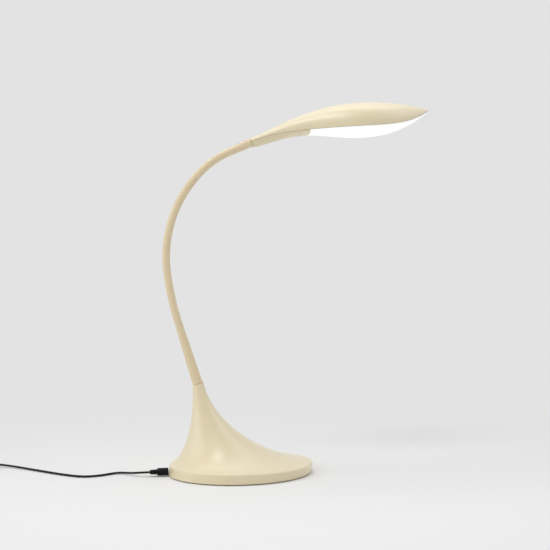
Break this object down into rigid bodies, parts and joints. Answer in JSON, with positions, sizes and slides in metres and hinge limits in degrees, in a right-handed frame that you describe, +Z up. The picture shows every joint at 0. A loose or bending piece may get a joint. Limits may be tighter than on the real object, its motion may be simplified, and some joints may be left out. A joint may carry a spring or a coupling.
{
  "type": "desk lamp",
  "caption": "Desk lamp with an oval weighted base, a sleeved gooseneck and a leaf-shaped LED head, fed by a low-voltage lead with a barrel plug.",
  "frame": {"origin": "middle of the underside of the anti-slip pad, on the table", "axes": "+Z up, +X from the base's middle towards the head, Y across the lamp's middle plane"},
  "size_m": [0.5807, 0.168, 0.4342],
  "materials": {
    "cream_plastic": "satin moulded",
    "opal_plastic": "opal, satin",
    "cream_silicone": "matt sleeve",
    "black_plastic": "fine texture",
    "black_rubber": "matt",
    "grey_foam": "closed-cell foam",
    "zinc_steel": "zinc plated",
    "ballast_iron": "as cast",
    "nickel_plate": "nickel plated",
    "brass": "turned",
    "spreader_aluminium": "stamped sheet",
    "green_board": "solder mask",
    "white_board": "white solder mask",
    "phosphor": "cast silicone",
    "red_black_lead": "extruded",
    "white_plastic": "moulded"
  },
  "bodies": {
    "base": {"base_shell": "cream_plastic", "base_plate": "black_plastic", "anti_slip_pad": "grey_foam", "base_screws": "zinc_steel", "ballast": "ballast_iron", "power_jack": "black_plastic", "jack_pin": "nickel_plate", "driver_board": "green_board", "board_parts": "black_plastic", "neck_bush": "brass", "neck_washer": "zinc_steel", "neck_nut": "zinc_steel", "base_lead": "red_black_lead", "neck_core_base": "zinc_steel", "neck_sleeve": "cream_silicone", "neck_lead": "red_black_lead", "plug_grip": "black_rubber", "plug_barrel": "nickel_plate", "cord_run": "black_rubber", "cord_coil": "black_rubber", "coil_tie": "black_plastic", "usb_grip": "black_rubber", "usb_shell": "nickel_plate", "usb_tongue": "white_plastic"},
    "neck_1": {"neck_core_1": "zinc_steel"},
    "neck_2": {"neck_core_2": "zinc_steel"},
    "neck_3": {"neck_core_3": "zinc_steel"},
    "neck_4": {"neck_core_4": "zinc_steel"},
    "neck_5": {"neck_core_5": "zinc_steel"},
    "neck_6": {"neck_core_6": "zinc_steel"},
    "neck_7": {"neck_core_7": "zinc_steel"},
    "head": {"neck_core_head": "zinc_steel", "head_bush": "brass", "head_shell": "cream_plastic", "stem_cover": "cream_plastic", "diffuser": "opal_plastic", "stem_screw": "zinc_steel", "heat_spreader": "spreader_aluminium", "led_board": "white_board", "leds": "phosphor", "board_screws": "zinc_steel", "switch_body": "black_plastic", "switch_board": "green_board", "head_lead": "red_black_lead", "led_lead": "red_black_lead"},
    "button": {"switch_button": "cream_plastic", "switch_plunger": "black_plastic"}
  },
  "joints": [
    {"name": "neck_bend_1", "type": "hinge", "parent": "base", "child": "neck_1", "pos_m": [-0.05627, 0, 0.12687], "axis": [0, 1, 0], "range_deg": [-25, 15], "deforming": ["neck_sleeve", "neck_lead"]},
    {"name": "neck_bend_2", "type": "hinge", "parent": "neck_1", "child": "neck_2", "pos_m": [-0.06827, 0, 0.16461], "axis": [0.953, 0, 0.303], "range_deg": [-20, 20], "deforming": ["neck_sleeve", "neck_lead"]},
    {"name": "neck_bend_3", "type": "hinge", "parent": "neck_2", "child": "neck_3", "pos_m": [-0.0789, 0, 0.20274], "axis": [0, 1, 0], "range_deg": [-25, 15], "deforming": ["neck_sleeve", "neck_lead"]},
    {"name": "neck_bend_4", "type": "hinge", "parent": "neck_3", "child": "neck_4", "pos_m": [-0.08488, 0, 0.24184], "axis": [0.9987, 0, 0.0514], "range_deg": [-20, 20], "deforming": ["neck_sleeve", "neck_lead"]},
    {"name": "neck_bend_5", "type": "hinge", "parent": "neck_4", "child": "neck_5", "pos_m": [-0.08135, 0, 0.28115], "axis": [0, 1, 0], "range_deg": [-25, 15], "deforming": ["neck_sleeve", "neck_lead"]},
    {"name": "neck_bend_6", "type": "hinge", "parent": "neck_5", "child": "neck_6", "pos_m": [-0.06702, 0, 0.31793], "axis": [0.8714, 0, -0.4905], "range_deg": [-20, 20], "deforming": ["neck_sleeve", "neck_lead"]},
    {"name": "neck_bend_7", "type": "hinge", "parent": "neck_6", "child": "neck_7", "pos_m": [-0.04301, 0, 0.34926], "axis": [0, 1, 0], "range_deg": [-25, 15], "deforming": ["neck_sleeve", "neck_lead"]},
    {"name": "neck_bend_8", "type": "hinge", "parent": "neck_7", "child": "head", "pos_m": [-0.01037, 0, 0.37124], "axis": [0.4201, 0, -0.9075], "range_deg": [-20, 20], "deforming": ["neck_sleeve", "neck_lead"]},
    {"name": "switch_press", "type": "slide", "parent": "head", "child": "button", "axis": [0.4351, 0, -0.9004], "range_m": [0, 0.0008], "stiffness_N_per_m": 800, "springref_m": -0.001}
  ]
}
